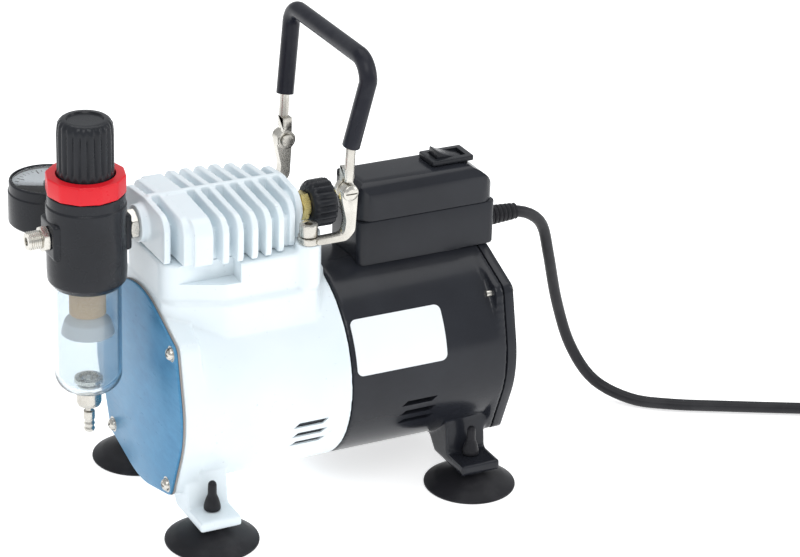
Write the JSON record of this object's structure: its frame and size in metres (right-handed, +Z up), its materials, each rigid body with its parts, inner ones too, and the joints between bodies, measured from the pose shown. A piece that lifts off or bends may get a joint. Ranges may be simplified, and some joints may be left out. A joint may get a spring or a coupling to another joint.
{
  "type": "airbrush compressor",
  "caption": "Portable oil-free piston air compressor with finned head, folding handle, filter regulator with gauge, suction feet and mains lead",
  "frame": {"origin": "on the ground under the middle of the machine, measured without the lead", "axes": "+X from the regulator towards the electrical end along the motor shaft, +Y away from the label side towards the gauge, +Z up"},
  "size_m": [0.5762, 0.166, 0.2573],
  "materials": {
    "white_enamel": "smooth white enamel with a faint blue tone",
    "black_paint": "gloss black paint",
    "blue_film": "blue satin with fine brushed lines",
    "bright_steel": "plated steel",
    "steel": "bare steel",
    "brass": "machined brass",
    "copper": "enamelled copper winding",
    "black_rubber": "soft matt rubber",
    "black_plastic": "gloss black moulding",
    "red_plastic": "red moulding",
    "clear_plastic": "clear moulded plastic",
    "filter_medium": "sintered porous element",
    "white_plastic": "white moulding",
    "aluminium": "die-cast aluminium"
  },
  "bodies": {
    "machine": {"crankcase": "white_enamel", "cylinder_head": "white_enamel", "motor_housing": "black_paint", "rear_cover": "black_paint", "front_plate": "blue_film", "front_plate_screw_1": "bright_steel", "front_plate_screw_2": "bright_steel", "front_plate_screw_3": "bright_steel", "front_plate_screw_4": "bright_steel", "rear_cover_screw_1": "bright_steel", "rear_cover_screw_2": "bright_steel", "rear_cover_screw_3": "bright_steel", "rear_cover_screw_4": "bright_steel", "bracket_bolt_left": "bright_steel", "bracket_bolt_right": "bright_steel", "handle_bracket_left": "bright_steel", "handle_bracket_right": "bright_steel", "pivot_screw_left": "bright_steel", "pivot_screw_right": "bright_steel", "air_nipple": "bright_steel", "outlet_fitting": "bright_steel", "drain_seat": "bright_steel", "stator_core": "steel", "front_bearing": "steel", "rear_bearing": "steel", "cylinder_liner": "steel", "valve_plate": "steel", "intake_nipple": "brass", "stator_windings": "copper", "suction_foot_front_left": "black_rubber", "suction_foot_front_right": "black_rubber", "suction_foot_rear_left": "black_rubber", "suction_foot_rear_right": "black_rubber", "cord_gland": "black_rubber", "power_cord": "black_rubber", "cord_coil": "black_rubber", "power_plug": "black_rubber", "electrical_box": "black_plastic", "electrical_cap": "black_plastic", "switch_bezel": "black_plastic", "regulator_body": "black_plastic", "gauge_case": "black_plastic", "intake_filter": "black_plastic", "lock_ring": "red_plastic", "filter_bowl": "clear_plastic", "gauge_lens": "clear_plastic", "filter_element": "filter_medium", "filter_baffle": "white_plastic"},
    "rotor": {"motor_rotor": "steel", "cooling_fan": "white_plastic", "crank": "aluminium"},
    "piston": {"piston_rod": "aluminium", "piston_cup": "white_plastic"},
    "handle": {"handle_frame": "bright_steel", "handle_grip": "black_rubber"},
    "knob": {"regulator_knob": "black_plastic", "adjusting_screw": "brass"},
    "rocker": {"switch_rocker": "black_plastic"},
    "drain": {"drain_valve": "bright_steel"},
    "needle": {"gauge_needle": "black_plastic"}
  },
  "joints": [
    {"name": "rotor_spin", "type": "hinge", "parent": "machine", "child": "rotor", "pos_m": [0, 0, 0.072], "axis": [1, 0, 0], "continuous": true},
    {"name": "piston_slide", "type": "slide", "parent": "machine", "child": "piston", "axis": [0, 0, 1], "range_m": [-0.01, 0]},
    {"name": "handle_fold", "type": "hinge", "parent": "machine", "child": "handle", "pos_m": [0.03, 0, 0.181], "axis": [0, 1, 0], "range_deg": [-85, 70]},
    {"name": "knob_turn", "type": "hinge", "parent": "machine", "child": "knob", "pos_m": [-0.098, 0, 0.2], "axis": [0, 0, 1], "range_deg": [0, 170]},
    {"name": "rocker_tilt", "type": "hinge", "parent": "machine", "child": "rocker", "pos_m": [0.1085, 0, 0.1705], "axis": [0, 1, 0], "range_deg": [-4, 4]},
    {"name": "drain_push", "type": "slide", "parent": "machine", "child": "drain", "axis": [0, 0, 1], "range_m": [0, 0.003], "stiffness_N_per_m": 200, "springref_m": -0.0005},
    {"name": "needle_turn", "type": "hinge", "parent": "machine", "child": "needle", "pos_m": [-0.098, 0.0547, 0.169], "axis": [0, 0, 1], "range_deg": [-270, 0]}
  ]
}
